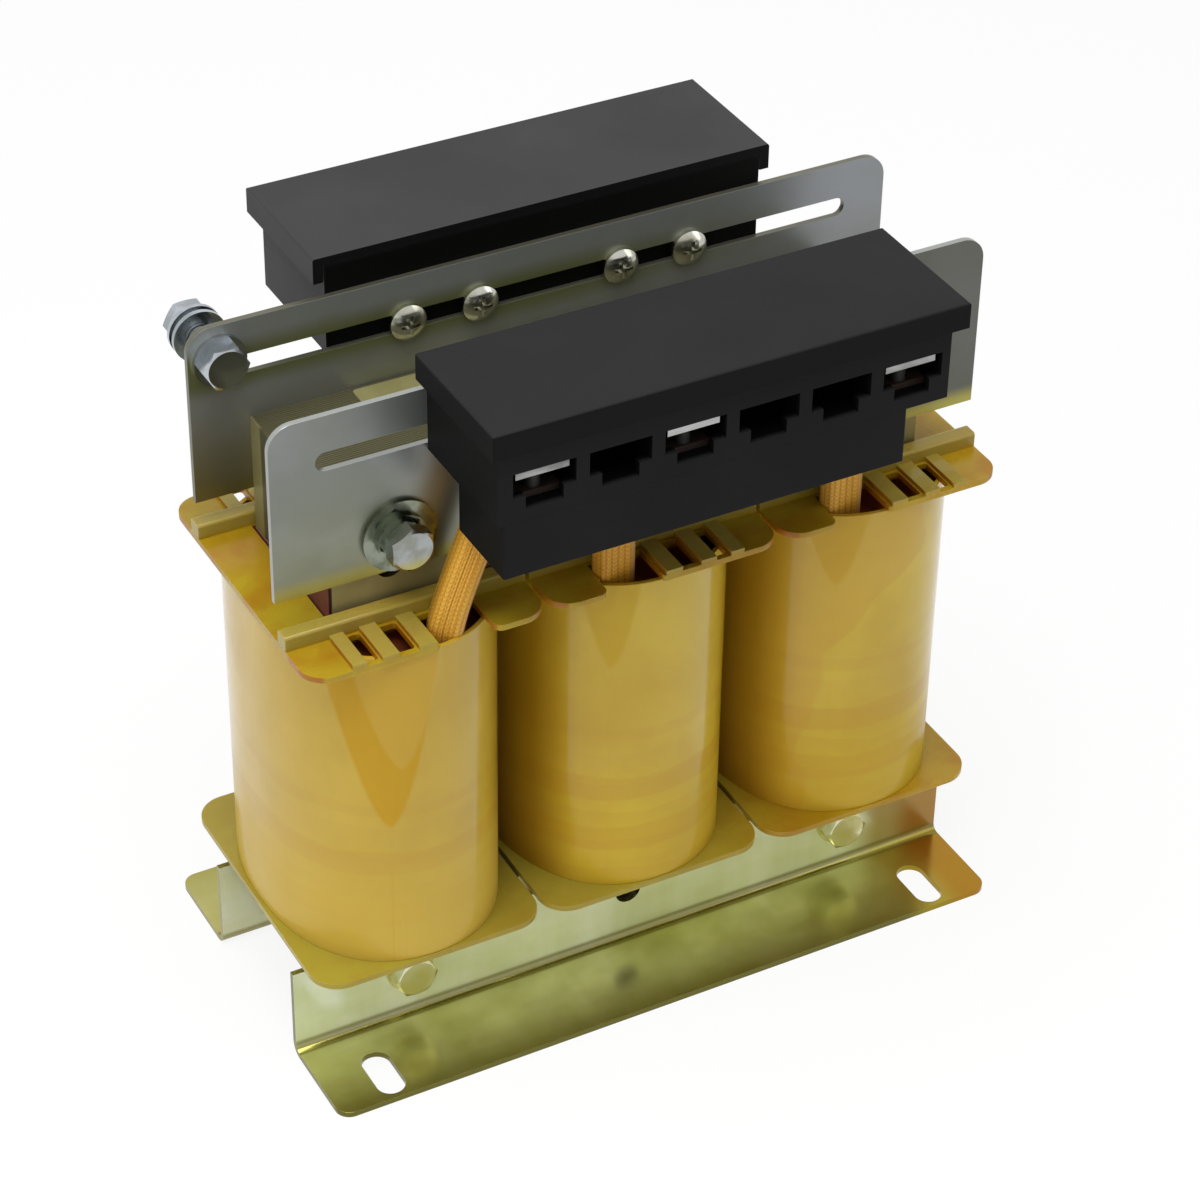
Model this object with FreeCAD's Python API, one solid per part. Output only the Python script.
# Harmonic filter reactor: three gapped coils on a laminated core, held by two foot
# brackets and two clamp plates that carry a terminal block each.
# Millimetres, +Z up, X along the length, origin at the middle of the base.
import math
import os

import FreeCAD
import Part

os.makedirs("parts", exist_ok=True)
V = FreeCAD.Vector

# Core
limb_width = 42.0
core_depth = 56.0
yoke_height = 40.0
window_height = 122.0
core_lift = 1.0
gap_spacer = 2.0

# Film sleeve between limb and coil former, with a tab outside the end coils
film_thickness = 0.5
film_clearance = 0.2
film_tab_height = 11.5
film_tab_width = 16.0
film_tab_inset = 1.0

# Coils; their top flanges stand side by side, so these also set the pitch of the limbs
former_wall = 2.0
former_clearance = 0.3
flange_thickness = 2.0
top_flange_half_width = 39.3
flange_gap = 1.4
flange_lip = 1.3
coil_depth = 22.5
wrap_power = 2.25
wrap_thickness = 1.5
winding_clearance = 0.3
winding_below_flange = 5.0
bottom_flange_narrower = 0.1
bottom_flange_lip = 0.5
bottom_flange_corner = 10.0

# Top flange: its front plate and ear, a rib, windows between raised fingers, the lead's notch
ear_reach = 1.3
ear_corner = 8.5
ear_inner_corner = 3.0
notch_ear_gap = 0.5
rib_gap = 1.3
rib_width = 5.5
rib_height = 5.0
rib_edge = 1.0
finger_gap = 1.2
finger_corner = 1.0
finger_slots = ((16.3, 20.4), (4.5, 10.0))
finger_slot_edge = 2.0
finger_bars = ((20.9, 25.4), (10.5, 15.8), (-1.5, 4.0))
finger_rise = 1.5
notch_from = 2.5
notch_clearance = 0.4

# Folded foot brackets
sheet = 2.0
frame_length = 240.0
foot_width = 36.3
foot_height = 33.4
foot_bend = 2.5
foot_corner = 5.0
foot_slot_width = 9.5
foot_slot_length = 20.0
foot_slot_inset = 20.0
foot_slot_edge = 11.8

# Clamp plates
plate_height = 60.0
plate_above_window = 14.5
plate_corner = 8.0
plate_slot_end = 14.5
plate_slot_clearance = 0.4
plate_slot_drop = 15.5

# Bolts through the core and the plates
bolt_diameter = 8.0
bolt_hole_clearance = 1.0
bolt_head_flats = 13.0
bolt_head_height = 5.3
bolt_tail = 3.0
bolt_tip_chamfer = 1.0
nut_height = 6.5
thread_clearance = 0.1
hexagon_face_share = 0.95
hexagon_chamfer_degrees = 30.0
washer_diameter = 16.0
washer_thickness = 1.6
washer_clearance = 0.4
wide_washer_diameter = 24.0
spring_washer_diameter = 13.5
spring_washer_thickness = 2.0
spring_washer_slit = 1.5
spring_slit_degrees = 35.0
bolt_spread = 160.0
upper_bolt_rise = 27.0
upper_bolt_turn_degrees = 30.0
spare_hole = 9.4
spare_hole_spread = 164.0
spare_hole_rise = 15.5

# Earth bolt in the rear plate
earth_bolt_inset = 10.0
earth_bolt_drop = 11.5
earth_washer_diameter = 17.0
earth_lug_gap = 5.2

# Terminal blocks
block_length = 149.0
block_depth = 45.0
block_height = 31.0
block_end_wall = 3.75
block_above_slot = 5.5
cover_overhang = 3.5
cover_gap = 0.3
cover_rim = 6.0
cover_top = 2.5
cover_edge = 0.8
cell_count = 6
cell_row_shift = 0.9
cell_width = 20.0
cell_front_wall = 3.0
cell_back_wall = 6.5
cell_floor = 4.0
window_height_wide = 8.0
window_notch_width = 12.0
window_notch_height = 4.5
skirt_height = 18.5
skirt_depth = 28.0
skirt_wall = 2.5
skirt_left_inset = 1.5
skirt_right_inset = 14.0
lead_slot_width = 17.0
lead_slot_depth = 11.0
front_block_shift = 4.5
rear_block_shift = 0.0
wired_cell_numbers = (0, 2, 5)

# Screws that hold the blocks in the plates' slots
block_screw_diameter = 6.0
block_screw_hole_clearance = 0.2
block_screw_length = 8.0
block_screw_head = 12.0
block_screw_dome = 3.8
block_screw_edge = 1.4
block_screw_cross = 6.4
block_screw_cross_width = 1.3
block_screw_cross_depth = 2.0

# Clamps in the wired cells
bus_width = 15.0
bus_thickness = 2.0
bus_front_gap = 2.0
bus_back_gap = 0.5
clamp_width = 17.0
clamp_depth = 13.5
clamp_thickness = 2.5
clamp_below_window_top = 0.7
clamp_into_wall = 1.5
clamp_screw_diameter = 5.0
clamp_screw_head = 8.0
clamp_screw_head_height = 3.7
clamp_screw_slot = 1.2

# Leads: two flat ones that rise beside the bolts, and a folded square one that leans
lead_corner = 2.4
lead_lean_end = 10.0
lead_bolt_clearance = 0.6
flat_lead_width = 13.0
flat_lead_thickness = 7.0
flat_lead_from_side = 24.4
flat_lead_row = 12.2
flat_lead_lean_start = 22.0
flat_lead_top_shift = -1.0
folded_lead_width = 9.0
folded_lead_turn_degrees = 17.0
folded_lead_beside = 9.0
folded_lead_row = 14.0
folded_lead_lean_start = 5.5

# Sizes of the coils and the core that follow from the sizes above
limb_pitch = 2.0 * top_flange_half_width + flange_gap
core_length = 2.0 * limb_pitch + limb_width
core_face = core_depth / 2.0
wrap_half_width = top_flange_half_width - flange_lip
wrap_half_depth = core_face + coil_depth
bottom_flange_half_width = top_flange_half_width - bottom_flange_narrower
bottom_flange_half_depth = wrap_half_depth + bottom_flange_lip
bore_half_width = limb_width / 2.0 + film_clearance + film_thickness + former_clearance
bore_half_depth = core_face + film_clearance + film_thickness + former_clearance
ear_depth = wrap_half_depth + ear_reach
rib_from = core_face + rib_gap
finger_from = rib_from + rib_width + finger_gap
flat_lead_beside = wrap_half_width - flat_lead_from_side
notch_to = flat_lead_beside + flat_lead_width / 2.0 + notch_clearance

# Holes and slots that follow from what goes through them
bolt_hole = bolt_diameter + bolt_hole_clearance
washer_bore = bolt_diameter + washer_clearance
block_screw_hole = block_screw_diameter + block_screw_hole_clearance
plate_slot_height = block_screw_diameter + plate_slot_clearance
plate_slot_length = frame_length - 2.0 * plate_slot_end
foot_slot_pitch = frame_length - 2.0 * foot_slot_inset

# Levels and faces that follow from the sizes above
window_bottom = core_lift + yoke_height
window_top = window_bottom + window_height
coil_bottom = window_bottom + flange_thickness
coil_top = window_top - flange_thickness
winding_top = coil_top - winding_below_flange
lower_bolt_z = core_lift + yoke_height / 2.0
upper_bolt_z = window_top + upper_bolt_rise
plate_face = core_face + sheet
plate_bottom = window_top + plate_above_window
plate_top = plate_bottom + plate_height
slot_z = plate_top - plate_slot_drop
block_bottom = slot_z - block_above_slot
block_top = block_bottom + block_height
block_front = plate_face + block_depth
cell_pitch = (block_length - cell_width - 2.0 * block_end_wall) / (cell_count - 1)
cell_bottom = block_bottom + cell_floor
cell_back = plate_face + cell_back_wall
wide_window_bottom = cell_bottom + window_notch_height
wide_window_top = wide_window_bottom + window_height_wide

limb_names = ("left", "middle", "right")
same_place = 1e-6
same_direction = 0.9
straight_degrees = 0.01

parts = {}


def block(x0, x1, y0, y1, z0, z1):
    return Part.makeBox(x1 - x0, y1 - y0, z1 - z0, V(x0, y0, z0))


def disc_y(diameter, x, z, y0, y1):
    return Part.makeCylinder(diameter / 2.0, y1 - y0, V(x, y0, z), V(0, 1, 0))


def disc_z(diameter, x, y, z0, z1):
    return Part.makeCylinder(diameter / 2.0, z1 - z0, V(x, y, z0), V(0, 0, 1))


def turned(shape):
    # The rear set is the front set turned half round about the upright axis.
    copy = shape.copy()
    copy.rotate(V(0, 0, 0), V(0, 0, 1), 180.0)
    return copy


def moved(shape, x, y, z):
    copy = shape.copy()
    copy.translate(V(x, y, z))
    return copy


def edges_along(shape, direction):
    return [edge for edge in shape.Edges
            if abs(edge.tangentAt(edge.FirstParameter).dot(direction)) > same_direction]


def rounded_block(half_width, half_depth, corner, x, z0, z1):
    solid = block(x - half_width, x + half_width, -half_depth, half_depth, z0, z1)
    return solid.makeFillet(corner, edges_along(solid, V(0, 0, 1)))


def limb_x(index):
    return (index - 1) * limb_pitch


# Core

def make_yoke(z0, bolt_z, bolt_xs, spare_z=None):
    yoke = block(-core_length / 2.0, core_length / 2.0, -core_face, core_face, z0, z0 + yoke_height)
    for x in bolt_xs:
        yoke = yoke.cut(disc_y(bolt_hole, x, bolt_z, -core_face, core_face))
    if spare_z is not None:
        for x in (-spare_hole_spread / 2.0, spare_hole_spread / 2.0):
            yoke = yoke.cut(disc_y(spare_hole, x, spare_z, -core_face, core_face))
    return yoke


def make_core():
    outer_bolts = (-bolt_spread / 2.0, bolt_spread / 2.0)
    spare_z = window_top + spare_hole_rise
    parts["lower_yoke"] = make_yoke(core_lift, lower_bolt_z, (outer_bolts[0], 0.0, outer_bolts[1]))
    parts["upper_yoke"] = make_yoke(window_top, upper_bolt_z, outer_bolts, spare_z)
    spacers = []
    half = limb_width / 2.0
    for index, name in enumerate(limb_names):
        x = limb_x(index)
        limb_z0 = window_bottom + gap_spacer
        limb_z1 = window_top - gap_spacer
        parts[name + "_limb"] = block(x - half, x + half, -core_face, core_face, limb_z0, limb_z1)
        spacers.append(block(x - half, x + half, -core_face, core_face, window_bottom, limb_z0))
        spacers.append(block(x - half, x + half, -core_face, core_face, limb_z1, window_top))
    parts["air_gap_spacers"] = Part.makeCompound(spacers)


def make_film(index):
    x = limb_x(index)
    inner_w = limb_width / 2.0 + film_clearance
    inner_d = core_face + film_clearance
    outer_w = inner_w + film_thickness
    outer_d = inner_d + film_thickness
    sleeve = block(x - outer_w, x + outer_w, -outer_d, outer_d, window_bottom, window_top)
    sleeve = sleeve.cut(block(x - inner_w, x + inner_w, -inner_d, inner_d, window_bottom, window_top))
    side = index - 1
    if side:
        x0, x1 = sorted((x + side * inner_w, x + side * outer_w))
        tab_front = core_face - film_tab_inset
        tab = block(x0, x1, -tab_front, -tab_front + film_tab_width, window_top, window_top + film_tab_height)
        sleeve = sleeve.fuse(tab).removeSplitter()
    return sleeve


# Coils

def wrap_outline(half_width, half_depth, x, z):
    count = 36
    points = []
    for step in range(count):
        angle = 2.0 * math.pi * step / count
        c = math.cos(angle)
        s = math.sin(angle)
        px = math.copysign(abs(c) ** (2.0 / wrap_power), c) * half_width
        py = math.copysign(abs(s) ** (2.0 / wrap_power), s) * half_depth
        points.append(V(x + px, py, z))
    curve = Part.BSplineCurve()
    curve.interpolate(points, PeriodicFlag=True)
    return Part.Wire(curve.toShape())


def wrap_solid(inset, x, z0, z1):
    outline = wrap_outline(wrap_half_width - inset, wrap_half_depth - inset, x, z0)
    return Part.Face(outline).extrude(V(0, 0, z1 - z0))


def make_wrap(x):
    return wrap_solid(0.0, x, coil_bottom, coil_top).cut(wrap_solid(wrap_thickness, x, coil_bottom, coil_top))


def make_winding(x):
    outer = wrap_solid(wrap_thickness + winding_clearance, x, coil_bottom, winding_top)
    half_w = bore_half_width + former_wall + winding_clearance
    half_d = bore_half_depth + former_wall + winding_clearance
    return outer.cut(block(x - half_w, x + half_w, -half_d, half_d, coil_bottom, winding_top))


def make_former(x):
    outer = rounded_block(bore_half_width + former_wall, bore_half_depth + former_wall, former_wall,
                          x, coil_bottom, coil_top)
    return outer.cut(bore(x, coil_bottom, coil_top))


def bore(x, z0, z1):
    return block(x - bore_half_width, x + bore_half_width, -bore_half_depth, bore_half_depth, z0, z1)


def make_bottom_flange(x):
    plate = rounded_block(bottom_flange_half_width, bottom_flange_half_depth, bottom_flange_corner,
                          x, window_bottom, coil_bottom)
    return plate.cut(bore(x, window_bottom, coil_bottom))


def ear(x, side, ear_from, inner_corner):
    # One front corner of the top flange; side is -1 for the left one and 1 for the right one.
    x0, x1 = sorted((x + side * ear_from, x + side * top_flange_half_width))
    solid = block(x0, x1, -ear_depth, 0.0, coil_top, window_top)
    corners = ((x + side * top_flange_half_width, ear_corner), (x + side * ear_from, inner_corner))
    for corner_x, radius in corners:
        edges = [edge for edge in solid.Edges
                 if abs(edge.CenterOfMass.x - corner_x) < same_place
                 and abs(edge.CenterOfMass.y + ear_depth) < same_place]
        solid = solid.makeFillet(radius, edges)
    return solid


def rounded_window(x0, x1, y0, y1):
    solid = block(x0, x1, y0, y1, coil_top, window_top)
    return solid.makeFillet(finger_corner, edges_along(solid, V(0, 0, 1)))


def flange_front_cuts(x, notch_side):
    # Finger windows on one side, and the notch that the lead rises through on the other.
    cuts = []
    for near, far in finger_slots:
        x0, x1 = sorted((x - notch_side * near, x - notch_side * far))
        cuts.append(rounded_window(x0, x1, -ear_depth + finger_slot_edge, -finger_from))
    x0, x1 = sorted((x + notch_side * notch_from, x + notch_side * notch_to))
    cuts.append(block(x0, x1, -ear_depth, -finger_from, coil_top, window_top))
    return cuts


def flange_ears(x, notch_side):
    # Beside the windows the plate runs on to the notch; past the notch only an ear is left.
    slot_plate = ear(x, -notch_side, -notch_from, finger_corner)
    notch_ear = ear(x, notch_side, notch_to + notch_ear_gap, ear_inner_corner)
    return [slot_plate, notch_ear]


def raised_fingers(x, notch_side):
    bars = []
    for near, far in finger_bars:
        x0, x1 = sorted((x - notch_side * near, x - notch_side * far))
        bars.append(block(x0, x1, -ear_depth, -rib_from - rib_width / 2.0,
                          window_top, window_top + finger_rise))
    return bars


def rib(x):
    x0 = x - top_flange_half_width
    x1 = x + top_flange_half_width
    solid = block(x0, x1, -rib_from - rib_width, -rib_from, window_top, window_top + rib_height)
    long_edges = [edge for edge in edges_along(solid, V(1, 0, 0))
                  if edge.CenterOfMass.z > window_top + same_place]
    return solid.makeFillet(rib_edge, long_edges)


def make_top_flange(x, front_notch, rear_notch):
    half_body = block(x - top_flange_half_width, x + top_flange_half_width, -rib_from, rib_from,
                      coil_top, window_top)
    pieces = [half_body]
    pieces += flange_ears(x, front_notch)
    pieces += [turned(piece) for piece in flange_ears(-x, -rear_notch)]
    plate = wrap_solid(0.0, x, coil_top, window_top).multiFuse(pieces)
    cuts = [bore(x, coil_top, window_top)]
    cuts += flange_front_cuts(x, front_notch)
    cuts += [turned(piece) for piece in flange_front_cuts(-x, -rear_notch)]
    plate = plate.cut(Part.makeCompound(cuts))
    raised = [rib(x), turned(rib(-x))] + raised_fingers(x, front_notch)
    raised += [turned(piece) for piece in raised_fingers(-x, -rear_notch)]
    return plate.multiFuse(raised).removeSplitter()


# Leads

def without_straight_points(points):
    # A point that lies on a straight run isn't a corner.
    kept = [points[0]]
    for corner, after in zip(points[1:], points[2:]):
        turn = (corner - kept[-1]).getAngle(after - corner)
        if math.degrees(turn) > straight_degrees:
            kept.append(corner)
    return kept + [points[-1]]


def lead_wire(points):
    # Straight runs joined by arcs that use most of the shorter run beside each corner.
    run_share = 0.45
    edges = []
    start = points[0]
    for before, corner, after in zip(points, points[1:], points[2:]):
        inward = (before - corner).normalize()
        onward = (after - corner).normalize()
        half_turn = (math.pi - inward.getAngle(onward)) / 2.0
        setback = run_share * min((before - corner).Length, (after - corner).Length)
        radius = setback / math.tan(half_turn)
        first = corner + inward * setback
        last = corner + onward * setback
        toward = (inward + onward).normalize()
        middle = corner + toward * (radius / math.cos(half_turn) - radius)
        edges.append(Part.LineSegment(start, first).toShape())
        edges.append(Part.Arc(first, middle, last).toShape())
        start = last
    edges.append(Part.LineSegment(start, points[-1]).toShape())
    return Part.Wire(edges)


def lead_section(width, thickness, turn, centre):
    solid = block(-width / 2.0, width / 2.0, -thickness / 2.0, thickness / 2.0, 0.0, thickness)
    rounded = solid.makeFillet(lead_corner, edges_along(solid, V(0, 0, 1)))
    base = [face for face in rounded.Faces if abs(face.CenterOfMass.z) < same_place][0]
    outline = base.OuterWire
    outline.rotate(V(0, 0, 0), V(0, 0, 1), turn)
    outline.translate(centre)
    return outline


def swept_lead(name, points, section):
    path = lead_wire(without_straight_points(points))
    lead = path.makePipeShell([section], True, False)
    swept = Part.Face(section).Area * path.Length
    print(name, "lead, volume over section times length", round(lead.Volume / swept, 4))
    return lead


def make_folded_lead(index, cell_x):
    # The folded lead leans from its notch straight to its cell.
    x = limb_x(index) + folded_lead_beside
    y = -core_face - folded_lead_row
    lean_from = winding_top + folded_lead_lean_start
    lean_to = block_bottom - lead_lean_end
    points = [V(x, y, winding_top), V(x, y, lean_from), V(cell_x, y, lean_to), V(cell_x, y, cell_bottom)]
    section = lead_section(folded_lead_width, folded_lead_width, folded_lead_turn_degrees, points[0])
    return swept_lead("folded", points, section)


def make_flat_lead(index, cell_x):
    # The flat lead is pressed aside where it would touch the head of the outer bolt.
    x = limb_x(index) - flat_lead_beside
    y = -core_face - flat_lead_row
    top_x = cell_x + flat_lead_top_shift
    lean_from = winding_top + flat_lead_lean_start
    lean_to = block_bottom - lead_lean_end
    past_bolt = upper_bolt_z + bolt_head_flats / math.sqrt(3.0)
    clear_x = bolt_spread / 2.0 - bolt_head_flats / 2.0 - lead_bolt_clearance - flat_lead_width / 2.0
    leaning_x = x + (top_x - x) * (past_bolt - lean_from) / (lean_to - lean_from)
    points = [
        V(x, y, winding_top),
        V(x, y, window_top),
        V(min(x, clear_x), y, lean_from),
        V(min(leaning_x, clear_x), y, past_bolt),
        V(top_x, y, lean_to),
        V(top_x, y, cell_bottom),
    ]
    section = lead_section(flat_lead_width, flat_lead_thickness, 0.0, points[0])
    return swept_lead("flat", points, section)


def make_lead(index, folded, cell_x):
    return make_folded_lead(index, cell_x) if folded else make_flat_lead(index, cell_x)


# Folded sheet and plates

def make_foot():
    outer_bend = foot_bend + sheet
    lean = math.sqrt(0.5)

    def at(out, z):
        return V(-frame_length / 2.0, -core_face - out, z)

    outer_mid = at(outer_bend * (1.0 - lean), outer_bend * (1.0 - lean))
    inner_mid = at(outer_bend - foot_bend * lean, outer_bend - foot_bend * lean)
    edges = [
        Part.LineSegment(at(0, foot_height), at(0, outer_bend)).toShape(),
        Part.Arc(at(0, outer_bend), outer_mid, at(outer_bend, 0)).toShape(),
        Part.LineSegment(at(outer_bend, 0), at(foot_width, 0)).toShape(),
        Part.LineSegment(at(foot_width, 0), at(foot_width, sheet)).toShape(),
        Part.LineSegment(at(foot_width, sheet), at(outer_bend, sheet)).toShape(),
        Part.Arc(at(outer_bend, sheet), inner_mid, at(sheet, outer_bend)).toShape(),
        Part.LineSegment(at(sheet, outer_bend), at(sheet, foot_height)).toShape(),
        Part.LineSegment(at(sheet, foot_height), at(0, foot_height)).toShape(),
    ]
    foot = Part.Face(Part.Wire(edges)).extrude(V(frame_length, 0, 0))
    front = -core_face - foot_width
    corners = [edge for edge in edges_along(foot, V(0, 0, 1))
               if abs(edge.CenterOfMass.y - front) < same_place]
    foot = foot.makeFillet(foot_corner, corners)
    slot_y = front + foot_slot_edge
    for x in (-foot_slot_pitch / 2.0, foot_slot_pitch / 2.0):
        straight = (foot_slot_length - foot_slot_width) / 2.0
        half = foot_slot_width / 2.0
        cutter = block(x - half, x + half, slot_y - straight, slot_y + straight, 0.0, sheet)
        for end_y in (slot_y - straight, slot_y + straight):
            cutter = cutter.fuse(disc_z(foot_slot_width, x, end_y, 0.0, sheet))
        foot = foot.cut(cutter)
    for x in (-bolt_spread / 2.0, 0.0, bolt_spread / 2.0):
        foot = foot.cut(disc_y(bolt_hole, x, lower_bolt_z, -core_face - sheet, -core_face))
    return foot


def make_plate():
    half = frame_length / 2.0
    plate = block(-half, half, -plate_face, -core_face, plate_bottom, plate_top)
    corners = [edge for edge in edges_along(plate, V(0, 1, 0))
               if abs(edge.CenterOfMass.z - plate_top) < same_place]
    plate = plate.makeFillet(plate_corner, corners)
    end_x = (plate_slot_length - plate_slot_height) / 2.0
    half_slot = plate_slot_height / 2.0
    cutter = block(-end_x, end_x, -plate_face, -core_face, slot_z - half_slot, slot_z + half_slot)
    for x in (-end_x, end_x):
        cutter = cutter.fuse(disc_y(plate_slot_height, x, slot_z, -plate_face, -core_face))
    plate = plate.cut(cutter)
    for x in (-bolt_spread / 2.0, bolt_spread / 2.0):
        plate = plate.cut(disc_y(bolt_hole, x, upper_bolt_z, -plate_face, -core_face))
    return plate


# Fasteners, made about the Y axis with the head's seat at y = 0 and the shank running back

def hexagon(flats, y0, y1, turn):
    # A hexagon's corners are its width across flats over the root of three from its middle.
    radius = flats / math.sqrt(3.0)
    points = []
    for step in range(7):
        angle = math.radians(60.0 * step + turn)
        points.append(V(radius * math.cos(angle), y0, radius * math.sin(angle)))
    return Part.Face(Part.makePolygon(points)).extrude(V(0, y1 - y0, 0))


def chamfered_hexagon(flats, y0, y1, both_ends, turn=0.0):
    # The corners are turned off towards the free end, as on a forged head or nut.
    reach = flats / math.sqrt(3.0)
    face_radius = flats * hexagon_face_share / 2.0
    fall = (reach - face_radius) * math.tan(math.radians(hexagon_chamfer_degrees))
    profile = [V(0, y0, 0), V(face_radius, y0, 0), V(reach, y0 + fall, 0)]
    if both_ends:
        profile += [V(reach, y1 - fall, 0), V(face_radius, y1, 0)]
    else:
        profile += [V(reach, y1, 0)]
    profile += [V(0, y1, 0), V(0, y0, 0)]
    envelope = Part.Face(Part.makePolygon(profile)).revolve(V(0, 0, 0), V(0, 1, 0), 360.0)
    return hexagon(flats, y0, y1, turn).common(envelope)


def make_bolt(length, turn=0.0):
    head = chamfered_hexagon(bolt_head_flats, -bolt_head_height, 0.0, False, turn)
    shank = disc_y(bolt_diameter, 0.0, 0.0, 0.0, length)
    tip = [edge for edge in shank.Edges if abs(edge.CenterOfMass.y - length) < same_place]
    return head.fuse(shank.makeChamfer(bolt_tip_chamfer, tip)).removeSplitter()


def make_nut(turn=0.0):
    nut = chamfered_hexagon(bolt_head_flats, 0.0, nut_height, True, turn)
    return nut.cut(disc_y(bolt_diameter + thread_clearance, 0.0, 0.0, 0.0, nut_height))


def make_washer(diameter, thickness):
    return disc_y(diameter, 0.0, 0.0, 0.0, thickness).cut(disc_y(washer_bore, 0.0, 0.0, 0.0, thickness))


def make_spring_washer():
    ring = make_washer(spring_washer_diameter, spring_washer_thickness)
    half = spring_washer_slit / 2.0
    slit = block(-half, half, 0.0, spring_washer_thickness, 0.0, spring_washer_diameter)
    slit.rotate(V(0, 0, 0), V(0, 1, 0), spring_slit_degrees)
    return ring.cut(slit)


def make_block_screw():
    # Low domed head with a cross recess, on a short shank.
    radius = block_screw_head / 2.0
    rise = block_screw_dome - block_screw_edge
    rim = V(radius, -block_screw_edge, 0)
    crown = V(0, -block_screw_dome, 0)
    sphere = (radius * radius + rise * rise) / (2.0 * rise)
    angle = math.asin(radius / sphere) / 2.0
    middle = V(sphere * math.sin(angle), -block_screw_dome + sphere * (1.0 - math.cos(angle)), 0)
    edges = [
        Part.LineSegment(V(0, 0, 0), V(radius, 0, 0)).toShape(),
        Part.LineSegment(V(radius, 0, 0), rim).toShape(),
        Part.Arc(rim, middle, crown).toShape(),
        Part.LineSegment(crown, V(0, 0, 0)).toShape(),
    ]
    head = Part.Face(Part.Wire(edges)).revolve(V(0, 0, 0), V(0, 1, 0), 360.0)
    long_half = block_screw_cross / 2.0
    short_half = block_screw_cross_width / 2.0
    floor = -block_screw_dome + block_screw_cross_depth
    for half_x, half_z in ((long_half, short_half), (short_half, long_half)):
        head = head.cut(block(-half_x, half_x, -block_screw_dome, floor, -half_z, half_z))
    return head.fuse(disc_y(block_screw_diameter, 0.0, 0.0, 0.0, block_screw_length))


def make_lower_fasteners():
    half_stack = core_face + sheet + washer_thickness
    length = 2.0 * half_stack + nut_height + bolt_tail
    bolts = []
    washers = []
    nuts = []
    for x in (-bolt_spread / 2.0, bolt_spread / 2.0):
        bolts.append(moved(make_bolt(length), x, -half_stack, lower_bolt_z))
        washer = make_washer(washer_diameter, washer_thickness)
        washers.append(moved(washer, x, -half_stack, lower_bolt_z))
        washers.append(moved(washer, x, half_stack - washer_thickness, lower_bolt_z))
        nuts.append(moved(make_nut(), x, half_stack, lower_bolt_z))
    parts["lower_core_bolts"] = Part.makeCompound(bolts)
    parts["lower_core_washers"] = Part.makeCompound(washers)
    parts["lower_core_nuts"] = Part.makeCompound(nuts)


def make_upper_fasteners():
    # In front a wide washer, a plain one and a spring washer; behind a wide washer and a nut.
    front_stack = plate_face + 2.0 * washer_thickness + spring_washer_thickness
    rear_stack = plate_face + washer_thickness
    length = front_stack + rear_stack + nut_height + bolt_tail
    bolts = []
    washers = []
    springs = []
    nuts = []
    for x in (-bolt_spread / 2.0, bolt_spread / 2.0):
        bolts.append(moved(make_bolt(length, upper_bolt_turn_degrees), x, -front_stack, upper_bolt_z))
        springs.append(moved(make_spring_washer(), x, -front_stack, upper_bolt_z))
        wide = make_washer(wide_washer_diameter, washer_thickness)
        plain = make_washer(washer_diameter, washer_thickness)
        washers.append(moved(wide, x, -plate_face - washer_thickness, upper_bolt_z))
        washers.append(moved(plain, x, -plate_face - 2.0 * washer_thickness, upper_bolt_z))
        washers.append(moved(wide, x, plate_face, upper_bolt_z))
        nuts.append(moved(make_nut(upper_bolt_turn_degrees), x, rear_stack, upper_bolt_z))
    parts["upper_core_bolts"] = Part.makeCompound(bolts)
    parts["upper_core_washers"] = Part.makeCompound(washers)
    parts["upper_core_spring_washers"] = Part.makeCompound(springs)
    parts["upper_core_nuts"] = Part.makeCompound(nuts)


def earth_place():
    return -frame_length / 2.0 + earth_bolt_inset, plate_top - earth_bolt_drop


def make_earth_bolt():
    # Head and washer in front of the rear plate, a nut behind it, then the space for a lug.
    x, z = earth_place()
    seat = core_face - washer_thickness
    lug = plate_face + nut_height + earth_lug_gap
    spring = lug + washer_thickness
    second = spring + spring_washer_thickness
    last_nut = second + washer_thickness
    length = last_nut + nut_height + bolt_tail - seat
    washer = make_washer(earth_washer_diameter, washer_thickness)
    washers = [moved(washer, x, place, z) for place in (seat, lug, second)]
    nuts = [moved(make_nut(), x, plate_face, z), moved(make_nut(), x, last_nut, z)]
    parts["earth_bolt"] = moved(make_bolt(length), x, seat, z)
    parts["earth_washers"] = Part.makeCompound(washers)
    parts["earth_spring_washer"] = moved(make_spring_washer(), x, spring, z)
    parts["earth_nuts"] = Part.makeCompound(nuts)


# Terminal block, made in front of the front plate with its middle at x = 0

def cell_centre(cell):
    return (cell - (cell_count - 1) / 2.0) * cell_pitch + cell_row_shift


def block_screw_places():
    # The screws stand between cells, and the middle one of that row is left out.
    half_row = cell_count // 2 - 1
    return [step * cell_pitch for step in range(-half_row, half_row + 1) if step]


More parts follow.
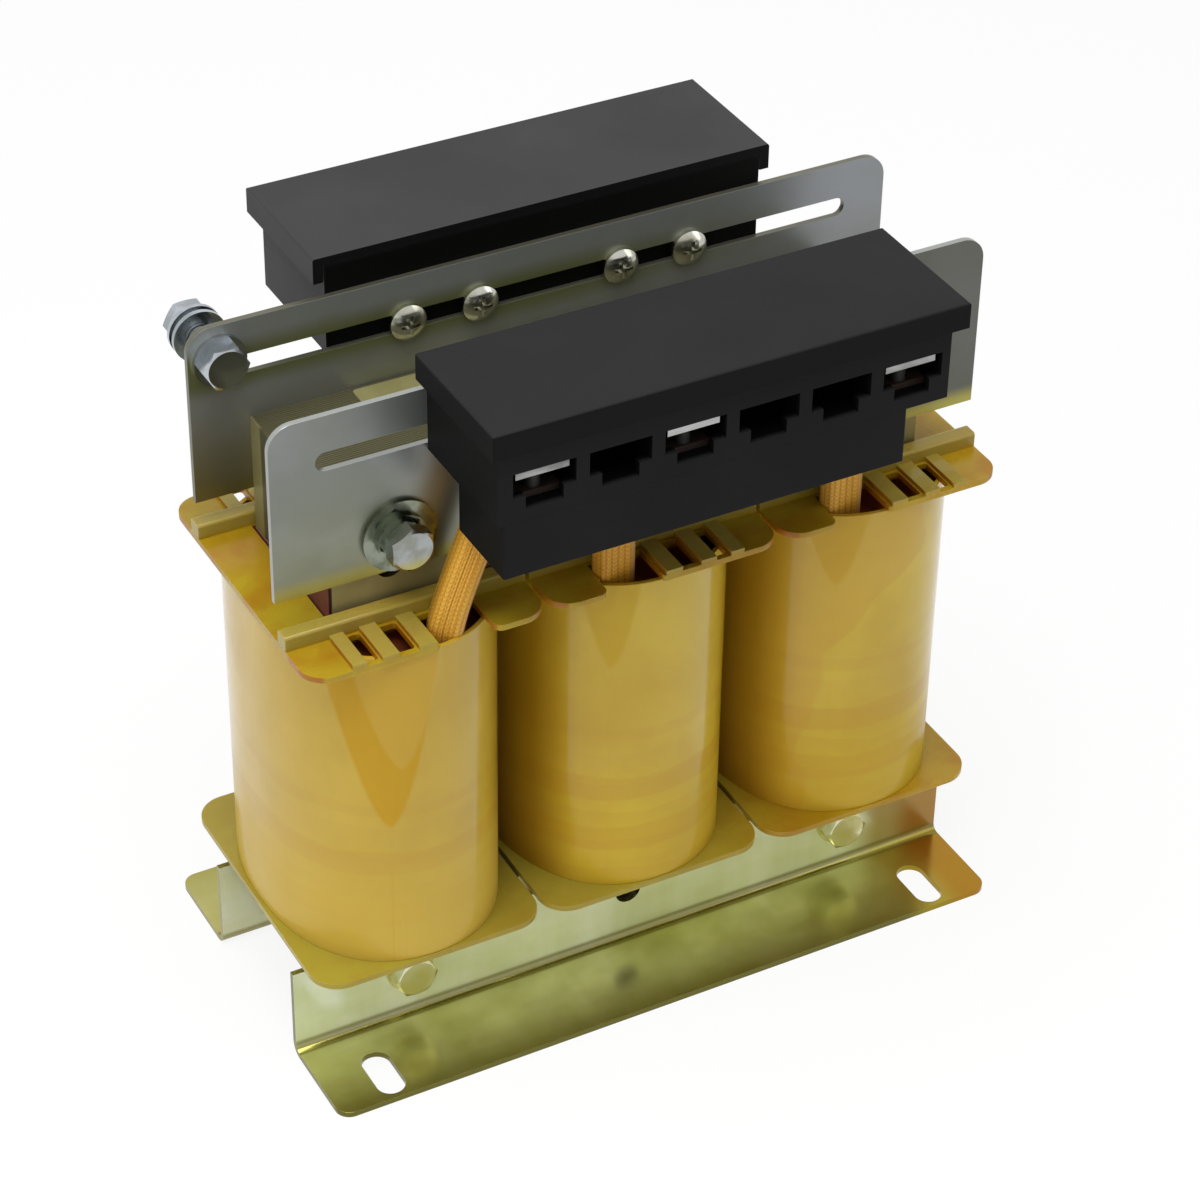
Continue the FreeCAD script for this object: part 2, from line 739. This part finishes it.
def make_block_body():
    half = block_length / 2.0
    body = block(-half, half, -block_front, -plate_face, block_bottom, block_top)
    cuts = []
    for cell in range(cell_count):
        x = cell_centre(cell)
        cell_front = block_front - cell_front_wall
        half_cell = cell_width / 2.0
        half_notch = window_notch_width / 2.0
        half_slot = lead_slot_width / 2.0
        cuts.append(block(x - half_cell, x + half_cell, -cell_front, -cell_back, cell_bottom, block_top))
        cuts.append(block(x - half_cell, x + half_cell, -block_front, -cell_front,
                          wide_window_bottom, wide_window_top))
        cuts.append(block(x - half_notch, x + half_notch, -block_front, -cell_front,
                          cell_bottom, wide_window_bottom))
        cuts.append(block(x - half_slot, x + half_slot, -cell_back - lead_slot_depth, -cell_back,
                          block_bottom, cell_bottom))
    for x in block_screw_places():
        hole_end = -plate_face - block_screw_length + sheet
        cuts.append(disc_y(block_screw_hole, x, slot_z, hole_end, -plate_face))
    return body.cut(Part.makeCompound(cuts))


def make_block_skirt():
    x0 = -block_length / 2.0 + skirt_left_inset
    x1 = block_length / 2.0 - skirt_right_inset
    z0 = block_bottom - skirt_height
    outer = block(x0, x1, -block_front, -block_front + skirt_depth, z0, block_bottom)
    inner = block(x0 + skirt_wall, x1 - skirt_wall, -block_front + skirt_wall, -block_front + skirt_depth,
                  z0, block_bottom)
    return outer.cut(inner)


def make_block_cover():
    half = block_length / 2.0 + cover_overhang
    front = block_front + cover_overhang
    top = block_top + cover_top
    cover = block(-half, half, -front, -plate_face, block_top - cover_rim, top)
    top_edges = [edge for edge in cover.Edges
                 if abs(edge.CenterOfMass.z - top) < same_place
                 and edge.CenterOfMass.y < -plate_face - same_place]
    cover = cover.makeFillet(cover_edge, top_edges)
    half_inside = block_length / 2.0 + cover_gap
    inside = block(-half_inside, half_inside, -block_front - cover_gap, -plate_face,
                   block_top - cover_rim, block_top)
    return cover.cut(inside)


def make_cell_fittings(cell):
    # Bus strip on the cell's floor, clamp bar above it and the screw that draws them together.
    x = cell_centre(cell)
    front = block_front - cell_front_wall
    bus_top = cell_bottom + bus_thickness
    bar_top = wide_window_top - clamp_below_window_top
    bar_front = front + clamp_into_wall
    bar_bottom = bar_top - clamp_thickness
    screw_y = -(bar_front - clamp_depth / 2.0)
    half_bus = bus_width / 2.0
    half_bar = clamp_width / 2.0
    bus_y = (-front + bus_front_gap, -cell_back - bus_back_gap)
    bus = block(x - half_bus, x + half_bus, bus_y[0], bus_y[1], cell_bottom, bus_top)
    bus = bus.cut(disc_z(clamp_screw_diameter + thread_clearance, x, screw_y, cell_bottom, bus_top))
    bar = block(x - half_bar, x + half_bar, -bar_front, -bar_front + clamp_depth, bar_bottom, bar_top)
    bar = bar.cut(disc_z(clamp_screw_diameter + 2.0 * thread_clearance, x, screw_y, bar_bottom, bar_top))
    head = disc_z(clamp_screw_head, x, screw_y, bar_top, bar_top + clamp_screw_head_height)
    half_slot = clamp_screw_slot / 2.0
    head_top = bar_top + clamp_screw_head_height
    slot_floor = bar_top + clamp_screw_head_height / 2.0
    slot = block(-clamp_screw_head, clamp_screw_head, -half_slot, half_slot, slot_floor, head_top)
    head = head.cut(moved(slot, x, screw_y, 0.0))
    screw = head.fuse(disc_z(clamp_screw_diameter, x, screw_y, cell_bottom, bar_top))
    return bus, bar, screw


def make_terminal_block(place, shift, turn):
    def placed(shape):
        shape = turned(shape) if turn else shape
        return moved(shape, shift, 0.0, 0.0)

    parts[place + "_terminal_body"] = placed(make_block_body())
    parts[place + "_terminal_skirt"] = placed(make_block_skirt())
    parts[place + "_terminal_cover"] = placed(make_block_cover())
    fittings = [make_cell_fittings(cell) for cell in wired_cell_numbers]
    parts[place + "_bus_strips"] = placed(Part.makeCompound([bus for bus, bar, screw in fittings]))
    parts[place + "_clamp_bars"] = placed(Part.makeCompound([bar for bus, bar, screw in fittings]))
    parts[place + "_clamp_screws"] = placed(Part.makeCompound([screw for bus, bar, screw in fittings]))
    screws = [moved(turned(make_block_screw()), x, -core_face, slot_z) for x in block_screw_places()]
    parts[place + "_block_screws"] = placed(Part.makeCompound(screws))


def make_coils():
    # The first coil's lead notch is on its right, the others' on their left; the rear is the front turned.
    notch_sides = (1, -1, -1)
    for index, name in enumerate(limb_names):
        x = limb_x(index)
        opposite = len(limb_names) - 1 - index
        front_folded = notch_sides[index] > 0
        rear_folded = notch_sides[opposite] > 0
        parts[name + "_limb_film"] = make_film(index)
        parts[name + "_coil_former"] = make_former(x)
        parts[name + "_bottom_flange"] = make_bottom_flange(x)
        parts[name + "_top_flange"] = make_top_flange(x, notch_sides[index], -notch_sides[opposite])
        parts[name + "_winding"] = make_winding(x)
        parts[name + "_coil_wrap"] = make_wrap(x)
        front_cell = cell_centre(wired_cell_numbers[index]) + front_block_shift
        rear_cell = cell_centre(wired_cell_numbers[opposite]) - rear_block_shift
        parts[name + "_front_lead"] = make_lead(index, front_folded, front_cell)
        parts[name + "_rear_lead"] = turned(make_lead(opposite, rear_folded, rear_cell))


def make_sheet_parts():
    foot = make_foot()
    parts["front_foot_bracket"] = foot
    parts["rear_foot_bracket"] = turned(foot)
    plate = make_plate()
    earth_x, earth_z = earth_place()
    parts["front_clamp_plate"] = plate
    parts["rear_clamp_plate"] = turned(plate).cut(disc_y(bolt_hole, earth_x, earth_z, core_face, plate_face))


make_core()
make_coils()
make_sheet_parts()
make_lower_fasteners()
make_upper_fasteners()
make_earth_bolt()
make_terminal_block("front", front_block_shift, False)
make_terminal_block("rear", rear_block_shift, True)

for name, shape in parts.items():
    shape.exportStep("parts/" + name + ".step")
    print(name, len(shape.Solids), round(shape.Volume, 1), shape.isValid())
print(len(parts), "nodes")
